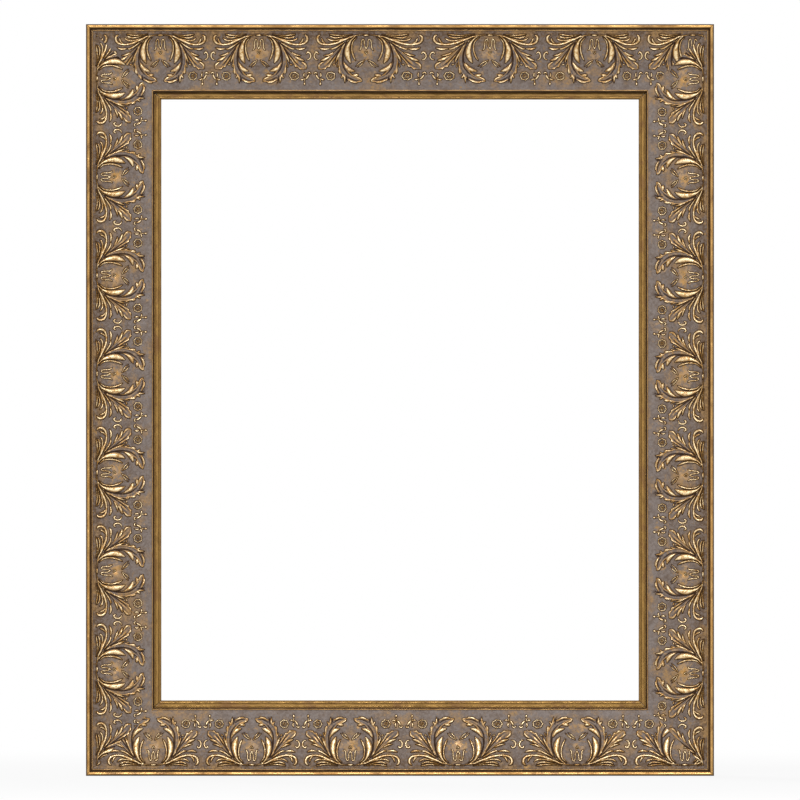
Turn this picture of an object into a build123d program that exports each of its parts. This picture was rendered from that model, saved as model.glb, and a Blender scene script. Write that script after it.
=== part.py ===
from build123d import *
import os
from math import atan2, cos, hypot, radians, sin

# A gilded picture frame with pressed acanthus ornament, hung from two strap hangers.
# X is right, Z is up, the front faces -Y and the wall is behind the bumpers at +Y.
# The origin is the middle of the frame: of its width, its height and its whole depth.

# Picture and rebate
picture_width = 406.0
picture_height = 508.0
picture_play = 2.0
rebate_depth = 18.0

# Rail section, across the rail from the outer edge to the lip
bead_radius = 1.85
groove_width = 1.0
outer_fillet_width = 0.9
panel_width = 48.6
inner_fillet_width = 1.0
lip_slope_width = 1.0
lip_reach = 2.2

# Rail section, heights
lip_edge_thickness = 2.0
lip_root_thickness = 4.3
film_thickness = 1.6
panel_fall = 7.2
fillet_rise = 0.6
groove_depth = 1.0
bead_neck = 0.95
quirk_size = 0.6
quirk_drop = 2.5
back_chamfer = 1.5

# Slip section
slip_width = 8.0
slip_thickness = 6.5
slip_bead_radius = 0.8
slip_bead_gap = 0.2
slip_edge_radius = 1.0
slip_edge_land = 0.7
slip_edge_drop = 0.9

# Pressed ornament
motif_pitch = 81.2
leaf_rise = 2.0
body_rise = 1.0
rosette_radius = 3.2
rosette_wire = 0.9
bud_radius = 0.9
knob_radius = 1.0
flower_petal_radius = 0.7
flower_radius = 1.5
jewel_length = 5.2
jewel_width = 1.5

# Where the first motif's middle lies on each rail, from the rail's first corner
first_motif = {"bottom": 54.8, "right": 5.8, "top": 18.0, "left": 46.0}

# V-nails across the mitres
nail_places = (16.0, 38.0)
nail_leg = 6.0
nail_sweep = 2.0
nail_gauge = 0.8
nail_height = 10.0
nail_proud = 0.15

# Turn buttons and their screws
button_length = 21.0
button_width = 9.0
button_thickness = 1.2
button_pivot_inset = 5.0
button_setback = 9.5
button_lift = 0.15
button_bore_play = 0.15
button_from_corner = {"bottom": 139.0, "right": 120.0, "top": 139.0, "left": 120.0}
button_screw_radius = 1.6
button_screw_bite = 13.0
button_head_radius = 3.4
button_head_height = 2.2

# Strap hangers, rings and screws
hanging_drop = 175.0
strap_width = 10.0
strap_length = 22.0
strap_gauge = 1.0
strap_loop_inset = 36.0
strap_screw_reach = 14.0
ring_wire_radius = 1.25
ring_play = 0.1
ring_inner_length = 15.0
ring_inner_reach = 9.0
ring_corner_radius = 2.6
hanger_screw_radius = 1.9
hanger_screw_bite = 14.0
hanger_head_radius = 3.6
hanger_head_height = 2.0
hanger_bore_play = 0.2

# Wall bumpers
bumper_radius = 5.5
bumper_height = 5.0
bumper_from_end = 45.0
bumper_inset = 14.0

overrun = 5.0

# Sizes worked out across the rail, from the outer edge inwards
bead_width = 2 * bead_radius
fillet_start = bead_width + groove_width
panel_start = fillet_start + outer_fillet_width
panel_end = panel_start + panel_width
lip_start = panel_end + inner_fillet_width
lip_edge = lip_start + lip_slope_width
rail_width = lip_edge - lip_reach
moulding_width = rail_width + slip_width

# Heights worked out from the rail's back
lip_underside = rebate_depth + slip_thickness
panel_inner_height = lip_underside + lip_root_thickness + film_thickness
panel_outer_height = panel_inner_height + panel_fall
outer_fillet_height = panel_outer_height + fillet_rise
inner_fillet_height = panel_inner_height + fillet_rise
groove_height = outer_fillet_height - groove_depth
bead_height = groove_height + bead_neck
rail_height = bead_height + bead_radius
panel_slope = atan2(panel_fall, panel_width)
panel_reach = hypot(panel_fall, panel_width)

# Outside sizes
outer_width = picture_width + 2 * (picture_play + rail_width)
outer_height = picture_height + 2 * (picture_play + rail_width)
whole_depth = rail_height + bumper_height
hanging_height = outer_height / 2 - hanging_drop
button_inset = rail_width - button_setback
ring_axis_lift = strap_gauge + ring_play + ring_wire_radius

# How far apart neighbouring motifs stand on each rail, as shares of the pitch. The first
# gap is the one across the rail's first mitre, and the gaps past the last one have share 1.
gap_shares = {
    "bottom": (1, 1, 1, 1.095, 1.21, 1.095),
    "right": (1,),
    "top": (1, 1, 1.095, 1.21, 1.095),
    "left": (1,),
}

# Half of one motif. Each leaf is a row of points: the share of the half gap from the
# motif's middle, the share of the panel's width from its outer edge, and the half width
# there as a share of the panel's width.
leaf_shares = {
    "scroll": ((.205, .085, .008), (.416, .166, .017), (.620, .230, .020), (.790, .238, .018),
               (.900, .185, .019), (.928, .125, .018), (.878, .074, .012)),
    "scroll_upper_lobe": ((.440, .160, .010), (.590, .188, .020), (.722, .140, .008)),
    "scroll_lower_lobe": ((.300, .080, .006), (.530, .124, .015), (.685, .082, .007)),
    "finger": ((.335, .158, .007), (.485, .266, .016), (.604, .318, .017), (.750, .318, .019),
               (.882, .302, .007)),
    "side_lobe_low": ((.490, .285, .008), (.640, .376, .017), (.800, .436, .006)),
    "side_lobe_middle": ((.600, .400, .008), (.730, .472, .023), (.860, .520, .006)),
    "side_lobe_tip": ((.690, .480, .008), (.820, .560, .020), (.900, .652, .006)),
    "side_rim": ((.455, .308, .007), (.579, .444, .013), (.651, .555, .015), (.710, .615, .018),
                 (.800, .645, .007)),
    "narrow_lobe": ((.455, .345, .006), (.532, .465, .017), (.576, .545, .005)),
    "gold_blade": ((.190, .100, .008), (.322, .216, .018), (.348, .358, .038), (.330, .470, .036),
                   (.284, .556, .006)),
    "thin_blade": ((.175, .135, .006), (.245, .225, .010), (.254, .330, .014), (.235, .435, .017),
                   (.188, .535, .004)),
    "crown_edge": ((.408, .555, .012), (.345, .655, .027), (.222, .697, .008)),
    "crown_serration": ((.425, .745, .010), (.405, .795, .018), (.378, .848, .006)),
    "crown_tip_lobe": ((.335, .810, .010), (.275, .862, .020), (.170, .885, .008)),
    "crown_hook": ((.076, .860, .008), (.140, .808, .018), (.215, .762, .012)),
    "tulip_side": ((.113, .332, .007), (.083, .270, .014), (.075, .166, .005)),
    "tulip_heart": ((-.004, .328, .009), (.030, .280, .011), (.028, .166, .005)),
    "beak": ((.006, .500, .007), (.049, .540, .011), (.115, .610, .004)),
    "sprig_stem": ((.866, .888, .005), (.872, .760, .007), (.925, .700, .007), (.978, .735, .007),
                   (.946, .790, .005)),
    "between_scroll": ((.930, .505, .006), (.972, .440, .011), (.895, .394, .007)),
}

# The low bodies that the raised edges stand on
body_shares = {
    "crown": ((.416, .620, .030), (.373, .715, .055), (.305, .779, .058), (.220, .822, .050),
              (.110, .850, .016)),
    "side": ((.480, .300, .010), (.600, .420, .040), (.720, .530, .056), (.800, .590, .048),
             (.860, .630, .020)),
}
knob_shares = ((.489, .615), (.493, .715), (.540, .605), (.185, .757))
straight_share = .004
strap_end_share = .45
rosette_shares = (.664, .779)
bud_shares = (.866, .890)
flower_shares = (0, .405)
jewel_shares = (0, .084)

# Each side's name, with the quarter turns that bring the bottom rail to it
sides = {"bottom": 0, "right": 1, "top": 2, "left": 3}

# Each rail's two turn buttons by name, from the rail's first corner
button_names = {"bottom": ("left", "right"), "right": ("lower", "upper"),
                "top": ("right", "left"), "left": ("upper", "lower")}


def rail_length(side):
    return outer_width if side in ("bottom", "top") else outer_height


def on_side(side, shape):
    """Moves a shape from a rail's own axes to its place in the frame.

    A rail's own axes are x along it, y from its outer edge inwards and z from its back
    to its front, with the start in the middle of its outer back edge.
    """
    turn = radians(90 * sides[side])
    half = (outer_height if side in ("bottom", "top") else outer_width) / 2
    along = Vector(cos(turn), 0, sin(turn))
    inwards = Vector(-sin(turn), 0, cos(turn))
    start = Vector(0, whole_depth / 2 - bumper_height, 0) - inwards * half
    return Location(Plane(origin=start, x_dir=along, z_dir=(0, -1, 0))) * shape


def section_face(start, *steps):
    """A closed face through points. A step of two points is an arc: its middle and its end."""
    edges = []
    here = start
    for step in steps:
        if isinstance(step[0], tuple):
            edges.append(ThreePointArc(here, *step))
            here = step[1]
        else:
            edges.append(Line(here, step))
            here = step
    edges.append(Line(here, start))
    return make_face(edges)


def bar(section, length):
    """A section across the rail, run along the rail's own x and centred on it."""
    return Pos(-length / 2, 0, 0) * extrude(Plane.YZ * section, amount=length)


def mitre_room(side):
    """The space of one rail between its two mitres, from behind the back to past the front."""
    half = rail_length(side) / 2
    corners = ((-half, 0), (half, 0), (half - moulding_width, moulding_width),
               (moulding_width - half, moulding_width))
    room = extrude(make_face(Polyline(*corners, close=True)), amount=rail_height + 2 * overrun)
    return Pos(0, 0, -overrun) * room


def rail_section():
    quirk = bead_height - quirk_drop
    return section_face(
        (back_chamfer, 0), (rail_width, 0), (rail_width, lip_underside), (lip_edge, lip_underside),
        (lip_edge, lip_underside + lip_edge_thickness), (lip_start, inner_fillet_height),
        (panel_end, inner_fillet_height), (panel_end, panel_inner_height - film_thickness),
        (panel_start, panel_outer_height - film_thickness),
        (panel_start, outer_fillet_height), (fillet_start, outer_fillet_height),
        (fillet_start, groove_height), (bead_width, groove_height), (bead_width, bead_height),
        ((bead_radius, rail_height), (0, bead_height)),
        (0, quirk), (quirk_size, quirk - quirk_size / 2), (0, quirk - quirk_size),
        (0, back_chamfer))


def slip_section():
    first = lip_edge + slip_bead_gap
    last = moulding_width - slip_edge_land
    top = lip_underside
    return section_face(
        (rail_width, rebate_depth), (moulding_width, rebate_depth),
        (moulding_width, top - slip_edge_drop), (last, top),
        ((last - slip_edge_radius, top + slip_edge_radius), (last - 2 * slip_edge_radius, top)),
        (first + 2 * slip_bead_radius, top),
        ((first + slip_bead_radius, top + slip_bead_radius), (first, top)),
        (rail_width, top))


def film_section():
    """The ornament's ground: an even layer on the rail's raked panel."""
    return section_face((panel_start, panel_outer_height - film_thickness),
                        (panel_end, panel_inner_height - film_thickness),
                        (panel_end, panel_inner_height), (panel_start, panel_outer_height))


def on_panel(shape):
    """Lays a drawing with x along the rail and y inwards on the raked panel's face."""
    panel = Plane(origin=(0, panel_start, panel_outer_height), x_dir=(1, 0, 0),
                  z_dir=(0, sin(panel_slope), cos(panel_slope)))
    return Location(panel) * shape


def arcs_through(points):
    """Arcs through each three points in turn, or lines where three lie nearly straight."""
    edges = []
    for i in range(0, len(points) - 2, 2):
        (ax, ay), (bx, by), (cx, cy) = points[i:i + 3]
        bow = abs((bx - ax) * (cy - ay) - (by - ay) * (cx - ax))
        if bow > straight_share * ((cx - ax) ** 2 + (cy - ay) ** 2):
            edges.append(ThreePointArc(*points[i:i + 3]))
        else:
            edges += [Line(points[i], points[i + 1]), Line(points[i + 1], points[i + 2])]
    if len(points) % 2 == 0:
        edges.append(Line(points[-2], points[-1]))
    return edges


def leaf_face(points, half_gap):
    """One leaf's outline on the panel, from its row of shares."""
    spots = [(u * half_gap, v * panel_reach, w * panel_reach) for u, v, w in points]
    left, right = [], []
    for i, (x, y, half) in enumerate(spots):
        before = spots[max(i - 1, 0)]
        after = spots[min(i + 1, len(spots) - 1)]
        lean = atan2(after[1] - before[1], after[0] - before[0])
        left.append((x - half * sin(lean), y + half * cos(lean)))
        right.append((x + half * sin(lean), y - half * cos(lean)))
    loop = arcs_through(left) + [Line(left[-1], right[-1])] + arcs_through(right[::-1])
    return make_face(loop + [Line(right[0], left[0])])


def at_share(spot, half_gap, face):
    return Pos(spot[0] * half_gap, spot[1] * panel_reach) * face


def half_motif(table, half_gap):
    return [leaf_face(points, half_gap) for points in table.values()]


def round_faces(half_gap):
    """The rosette's ring and middle, the sprig's bud and the crown's knobs."""
    ring = Circle(rosette_radius) - Circle(rosette_radius - rosette_wire)
    return ([at_share(rosette_shares, half_gap, ring),
            at_share(rosette_shares, half_gap, Circle(rosette_wire)),
            at_share(bud_shares, half_gap, Circle(bud_radius))]
            + [at_share(spot, half_gap, Circle(knob_radius)) for spot in knob_shares])


def middle_faces():
    """The flower and the jewel on the motif's middle line."""
    petals = Sketch() + PolarLocations(flower_radius, 5) * Circle(flower_petal_radius)
    return [at_share(flower_shares, 0, petals),
            at_share(jewel_shares, 0, Ellipse(jewel_length / 2, jewel_width / 2))]


def motif_tile(gap_before, gap_after):
    """One pressed tile with its motif on x = 0, half a gap long to each side."""
    leaves, bodies = middle_faces(), []
    for half_gap, flip in ((gap_after / 2, False), (gap_before / 2, True)):
        high = half_motif(leaf_shares, half_gap) + round_faces(half_gap)
        low = half_motif(body_shares, half_gap)
        leaves += [mirror(face, Plane.YZ) if flip else face for face in high]
        bodies += [mirror(face, Plane.YZ) if flip else face for face in low]
    film = Pos((gap_after - gap_before) / 4, 0, 0) * bar(film_section(), (gap_before + gap_after) / 2)
    relief = extrude(Sketch() + bodies, amount=body_rise) + extrude(Sketch() + leaves, amount=leaf_rise)
    return film + on_panel(relief)


tile_store = {}


def stored_tile(gap_before, gap_after):
    key = (gap_before, gap_after)
    if key not in tile_store:
        twin = tile_store.get(key[::-1])
        tile_store[key] = mirror(twin, Plane.YZ) if twin else motif_tile(*key)
    return tile_store[key]


def make_ornament(side):
    """One rail's strip: the tiles in a row, the last ones cut at the mitres."""
    end = rail_length(side) / 2
    shares = list(gap_shares[side])
    before = after = shares.pop(0) * motif_pitch
    place = first_motif[side] - end - before
    tiles = []
    while place - before / 2 < end:
        tile = Pos(place, 0, 0) * stored_tile(before, after)
        inner = end - moulding_width
        if place - before / 2 < -inner or place + after / 2 > inner:
            tile = tile & mitre_room(side)
        tiles += tile.solids() if tile else []
        place += after
        before = after
        after = (shares.pop(0) if shares else 1) * motif_pitch
    return on_side(side, Compound(tiles))


def pilot_hole(radius, depth):
    return Pos(0, 0, depth / 2) * Cylinder(radius, depth)


def make_rail(side):
    rail = bar(rail_section(), rail_length(side)) & mitre_room(side)
    for x in button_places(side):
        rail -= Pos(x, button_inset, 0) * pilot_hole(button_screw_radius, button_screw_bite)
    if side in ("left", "right"):
        hole = pilot_hole(hanger_screw_radius, hanger_screw_bite)
        rail -= Pos(hanger_place(side), strap_loop_inset - strap_screw_reach, 0) * hole
    return on_side(side, rail)


def make_slip(side):
    return on_side(side, bar(slip_section(), rail_length(side)) & mitre_room(side))


def make_corner_nails(side):
    """The two V-nails across the mitre at a rail's first corner."""
    chevron = Polyline((-nail_sweep, nail_leg), (0, 0), (-nail_sweep, -nail_leg),
                       (-nail_sweep - nail_gauge, -nail_leg), (-nail_gauge, 0),
                       (-nail_sweep - nail_gauge, nail_leg), close=True)
    nail = extrude(make_face(chevron), amount=nail_height)
    start = -rail_length(side) / 2
    return on_side(side, Compound([Pos(start + d, d, -nail_proud) * Rot(0, 0, 45) * nail
                                   for d in nail_places]))


def button_places(side):
    reach = rail_length(side) / 2 - button_from_corner[side]
    return (-reach, reach)


def make_button(side, x):
    """A turn button parked along the rail, its long arm towards the rail's middle."""
    shape = SlotOverall(button_length, button_width)
    plate = Pos(button_length / 2 - button_pivot_inset, 0) * shape
    plate -= Circle(button_screw_radius + button_bore_play)
    solid = Pos(0, 0, -button_lift - button_thickness) * extrude(plate, amount=button_thickness)
    turn = 0 if x < 0 else 180
    return on_side(side, Pos(x, button_inset, 0) * Rot(0, 0, turn) * solid)


def screw(radius, bite, under_head, head_radius, head_height):
    """A pan-head screw through a plate on the rail's back, its tip bite deep in the wood."""
    length = bite + under_head
    shank = Pos(0, 0, bite - length / 2) * Cylinder(radius, length)
    head = Cylinder(head_radius, head_height)
    head = fillet(head.edges().group_by(Axis.Z)[0], head_height / 2)
    return Pos(0, 0, -under_head - head_height / 2) * head + shank


def make_button_screws():
    solid = screw(button_screw_radius, button_screw_bite, button_thickness + 2 * button_lift,
                  button_head_radius, button_head_height)
    return Compound([on_side(side, Pos(x, button_inset, 0) * solid)
                     for side in sides for x in button_places(side)])


def hanger_place(side):
    """Where a side rail's hanger sits, along that rail's own x."""
    return hanging_height if side == "right" else -hanging_height


def make_strap(side):
    """A strap from its rounded end, by its screw hole, to the loop rolled round the ring."""
    plate = Pos(-strap_length / 2, 0) * Rectangle(strap_length, strap_width)
    plate = fillet(plate.vertices().group_by(Axis.X)[0], strap_width * strap_end_share)
    plate -= Pos(-strap_screw_reach, 0) * Circle(hanger_screw_radius + hanger_bore_play)
    strap = extrude(plate, amount=strap_gauge)
    bore = ring_wire_radius + ring_play
    strap += Pos(0, 0, ring_axis_lift) * Rot(90, 0, 0) * Cylinder(bore + strap_gauge, strap_width)
    strap -= Pos(0, 0, ring_axis_lift) * Rot(90, 0, 0) * Cylinder(bore, strap_width)
    turned = Rot(0, 0, 90) * mirror(strap, Plane.XY)
    return on_side(side, Pos(hanger_place(side), strap_loop_inset, 0) * turned)


def make_ring(side):
    """A ring of round wire: its straight bar lies in the strap's loop."""
    length = ring_inner_length + 2 * ring_wire_radius
    reach = ring_inner_reach + 2 * ring_wire_radius
    path = RectangleRounded(length, reach, ring_corner_radius).wire()
    profile = Plane(origin=path @ 0, z_dir=path % 0) * Circle(ring_wire_radius)
    ring = sweep(profile, path=path)
    return on_side(side, Pos(hanger_place(side), strap_loop_inset + reach / 2, -ring_axis_lift) * ring)


def make_hanger_screws():
    solid = screw(hanger_screw_radius, hanger_screw_bite, strap_gauge,
                  hanger_head_radius, hanger_head_height)
    return Compound([on_side(side, Pos(hanger_place(side), strap_loop_inset - strap_screw_reach, 0) * solid)
                     for side in ("left", "right")])


def make_bumper(end):
    """A rubber disc on the bottom rail's back: end is -1 at the left and 1 at the right."""
    disc = Pos(0, 0, -bumper_height / 2) * Cylinder(bumper_radius, bumper_height)
    x = end * (outer_width / 2 - bumper_from_end)
    return on_side("bottom", Pos(x, bumper_inset, 0) * disc)


def make_parts():
    """Every node of the frame by name."""
    corners = {"bottom": "bottom_left", "right": "bottom_right", "top": "top_right", "left": "top_left"}
    nails = {corner: make_corner_nails(side) for side, corner in corners.items()}
    order = list(sides)
    parts = {}
    for side in order:
        after = order[(sides[side] + 1) % len(order)]
        rail = make_rail(side)
        for nail in nails[corners[side]].solids() + nails[corners[after]].solids():
            rail -= nail
        parts[f"rail_{side}"] = rail
        parts[f"ornament_{side}"] = make_ornament(side)
        parts[f"slip_{side}"] = make_slip(side)
        for name, x in zip(button_names[side], button_places(side)):
            parts[f"turn_button_{side}_{name}"] = make_button(side, x)
    for corner, pair in nails.items():
        parts[f"corner_nails_{corner}"] = pair
    parts["turn_button_screws"] = make_button_screws()
    for side in ("left", "right"):
        parts[f"hanger_strap_{side}"] = make_strap(side)
        parts[f"hanger_ring_{side}"] = make_ring(side)
    parts["hanger_screws"] = make_hanger_screws()
    parts["bumper_left"] = make_bumper(-1)
    parts["bumper_right"] = make_bumper(1)
    return parts


os.makedirs("parts", exist_ok=True)
for node, shape in make_parts().items():
    export_step(shape, f"parts/{node}.step")
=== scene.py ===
from math import atan2, cos, hypot, pi, radians, sin

import bmesh
import bpy
import numpy as np
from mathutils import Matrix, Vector


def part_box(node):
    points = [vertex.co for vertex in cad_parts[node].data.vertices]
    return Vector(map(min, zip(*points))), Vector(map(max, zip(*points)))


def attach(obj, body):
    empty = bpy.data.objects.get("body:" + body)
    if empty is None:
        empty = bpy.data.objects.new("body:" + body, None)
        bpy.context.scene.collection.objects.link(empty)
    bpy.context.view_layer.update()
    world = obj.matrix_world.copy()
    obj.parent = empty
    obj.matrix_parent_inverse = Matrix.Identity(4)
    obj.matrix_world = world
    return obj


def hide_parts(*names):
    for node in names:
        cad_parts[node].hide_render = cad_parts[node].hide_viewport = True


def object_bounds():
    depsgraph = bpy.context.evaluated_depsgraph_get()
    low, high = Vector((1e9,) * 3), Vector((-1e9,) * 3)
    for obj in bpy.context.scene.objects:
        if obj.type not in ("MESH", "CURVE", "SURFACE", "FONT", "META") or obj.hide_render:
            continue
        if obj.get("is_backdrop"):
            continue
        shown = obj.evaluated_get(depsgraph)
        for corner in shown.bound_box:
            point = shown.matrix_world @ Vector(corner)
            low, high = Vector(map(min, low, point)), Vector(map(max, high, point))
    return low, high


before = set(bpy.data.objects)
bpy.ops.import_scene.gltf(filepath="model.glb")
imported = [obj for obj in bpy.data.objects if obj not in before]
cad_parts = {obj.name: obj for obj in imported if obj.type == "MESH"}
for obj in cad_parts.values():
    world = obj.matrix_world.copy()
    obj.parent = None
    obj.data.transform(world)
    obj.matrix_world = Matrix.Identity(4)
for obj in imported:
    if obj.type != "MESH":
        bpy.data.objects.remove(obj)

# A gilded picture frame with pressed acanthus ornament. Metres; X is right, Z is up and the
# front faces -Y. Each rail has its own axes: along it, inwards from its outer edge, and the
# height over its back. The bottom rail comes first, and the others follow anticlockwise.
mm = 0.001
cad_low, cad_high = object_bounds()
rail_low, rail_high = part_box("rail_bottom")
slip_low, slip_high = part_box("slip_bottom")
film_low, film_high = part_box("ornament_bottom")
outer_width = cad_high.x - cad_low.x
outer_height = cad_high.z - cad_low.z
back_y = rail_high.y
rail_width = slip_low.z - cad_low.z
moulding_width = slip_high.z - cad_low.z
panel_start = film_low.z - cad_low.z
panel_end = film_high.z - cad_low.z
panel_width = panel_end - panel_start
rail_height = back_y - rail_low.y
rebate_depth = back_y - slip_high.y
film_foot = back_y - film_high.y

# Sizes of the rail's and the slip's sections. The slip's beads are arcs that start at
# slip_bead_start degrees.
film_thickness = 1.6 * mm
panel_fall = 7.2 * mm
fillet_rise = 0.6 * mm
fillet_width = 1.0 * mm
outer_fillet_width = 0.9 * mm
groove_width = 1.0 * mm
groove_depth = 1.0 * mm
bead_radius = 1.85 * mm
lip_slope_width = 1.0 * mm
lip_edge_thickness = 2.0 * mm
slip_thickness = 6.5 * mm
slip_bead_radius = 0.8 * mm
slip_bead_gap = 0.2 * mm
slip_bead_start = 38
slip_edge_radius = 1.0 * mm
slip_edge_land = 0.7 * mm
slip_edge_drop = 0.9 * mm
quirk_size = 0.6 * mm
quirk_drop = 2.5 * mm
back_chamfer = 1.5 * mm
soft_corner = 0.22 * mm

# The points on each bead's arc. On a rounded corner: the spots along its curve, how many
# times its cut away from it the point lies that holds each side flat, and how many such
# reaches the shorter side has room for.
bead_steps = 19
slip_edge_steps = 9
slip_bead_steps = 7
corner_steps = (0, .3, .7, 1)
held_corner = 1.8
held_room = 2.2

# The mouldings' waviness, the rails' dents and the eased mitres. The spreads are the least and
# the greatest share of a wave's strength, of a dent's depth and reach, and of the bead's
# radius, for a dent's place across it.
column_step = 1.6 * mm
mitre_columns = np.array([0.02, 0.14, 0.3, 0.55, 0.95, 1.6]) * mm
mitre_ease = 0.22 * mm
mitre_ease_reach = 0.32 * mm
wave_size = 0.07 * mm
wave_lengths = (0.23, 0.091, 0.041)
wave_spread = (0.4, 1)
dents_per_rail = 16
dent_depth = 0.28 * mm
dent_depth_spread = (0.3, 1)
dent_reach = 1.5 * mm
dent_reach_spread = (0.6, 1.6)
dent_across_spread = (0.2, 1.8)
dent_free_ends = 0.05
rail_seed = 20
slip_seed = 40

# The pressed ornament: its grid, and how high each kind of leaf stands. A leaf that is
# narrower than full_rise_width is lower, down to its least share.
motif_pitch = 81.2 * mm
cell = 0.25 * mm
leaf_rise = 1.85 * mm
fine_rise = 1.2 * mm
body_rise = 1.15 * mm
full_rise_width = 1.2 * mm
least_leaf_share = 0.42
least_body_share = 0.35
leaf_fullness = 1.08
leaf_spread = 1.05
leaf_steps = 8
shoulder_width = 0.55 * mm
scoop_share = 0.62
rim_inset = 0.35 * mm
rim_width = 0.3 * mm
groove_share = 0.5
groove_width_share = 0.14
groove_cut = 0.3 * mm
trench_depth = 0.5 * mm
trench_reach = 0.42 * mm
trench_inner_reach = 0.15 * mm
fine_trench = 1.05
crease_depth = 0.9 * mm
crease_spread = 1.15
tile_keep = 0.3
cut_merge = 1e-7
tiny = 1e-12
grid_edge = 0.001
jitter = 0.1 * mm

# How far past a leaf, a body and a rosette the grid is worked on
leaf_margin = 3 * mm
body_margin = 6 * mm
rosette_margin = 5 * mm

# The gold: how much lies on each part, from 0 to 1 and over, and the share of a leaf's half
# width where it ends and over which it fades. The same fade across a leaf also gives its
# painted highlight along the middle and its painted shade on the flanks
fine_gold = 1.2
body_gold = 0.22
body_rim_gold = 0.5
body_groove_gold = 0.15
# The painted shade, with dark wax, along a leaf body's groove
body_groove_wax_and_shade = 0.5
rub_reach = 2.2 * mm
rub_gold = 0.5
gold_end = 1.1
leaf_fade = 0.6
wire_fade = 0.5
spot_fade = 0.4

# The fittings on the back. A screw's foot is inside the wood.
button_pivot_inset = 5.0 * mm
button_head_radius = 3.4 * mm
button_head_height = 2.2 * mm
button_screw_radius = 1.6 * mm
strap_end_to_screw = 8.0 * mm
hanger_head_radius = 3.6 * mm
hanger_head_height = 2.0 * mm
hanger_screw_radius = 1.9 * mm
screw_bite = 6.0 * mm
recess_reach_share = 0.58
recess_width_share = 0.13
recess_depth_share = 0.55
recess_floor_share = 0.55
recess_clearance = 1.2
button_screw_seed = 60
hanger_screw_seed = 61
lathe_steps = 40
bumper_steps = 48
pan_shares = ((.96, 0), (1, .06), (1, .42), (.97, .6), (.88, .78), (.72, .9), (.5, .97), (.25, .995),
              (0, 1))
bumper_shares = ((0, 0), (.94, 0), (1, .05), (1, .16), (.93, .22), (.91, .5), (.9, .72), (.86, .86),
                 (.76, .95), (.6, .985), (.42, 1), (.3, .975), (.15, .955), (0, .95))

# The greatest angle between faces that shade as one surface, in degrees
moulding_smooth = 40
tile_smooth = 72
fitting_smooth = 42

# How far the finishes of neighbouring rails lie apart, so that none repeats, and how wide a
# wood fibre is as a share of its length
finish_shift = 1.7
fibre_share = 0.045

panel_inner_height = film_foot + film_thickness
panel_outer_height = panel_inner_height + panel_fall
panel_slope = atan2(panel_fall, panel_width)
panel_reach = hypot(panel_fall, panel_width)

# Each side's quarter turns from the bottom rail
sides = {"bottom": 0, "right": 1, "top": 2, "left": 3}

# Where the first motif's middle lies on each rail, from the rail's first corner, and how far
# apart neighbouring motifs stand, as shares of the pitch. The first gap is the one across
# the rail's first mitre, and every gap past the listed ones is as wide as that one.
first_motif = {"bottom": 55.5 * mm, "right": 2.8 * mm, "top": 17.4 * mm, "left": 44.9 * mm}
gap_shares = {
    "bottom": (1, 1, 1, 1.095, 1.21, 1.095),
    "right": (1.006,),
    "top": (1, 1, 1.06, 1.26, 1.09),
    "left": (1,),
}

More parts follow.
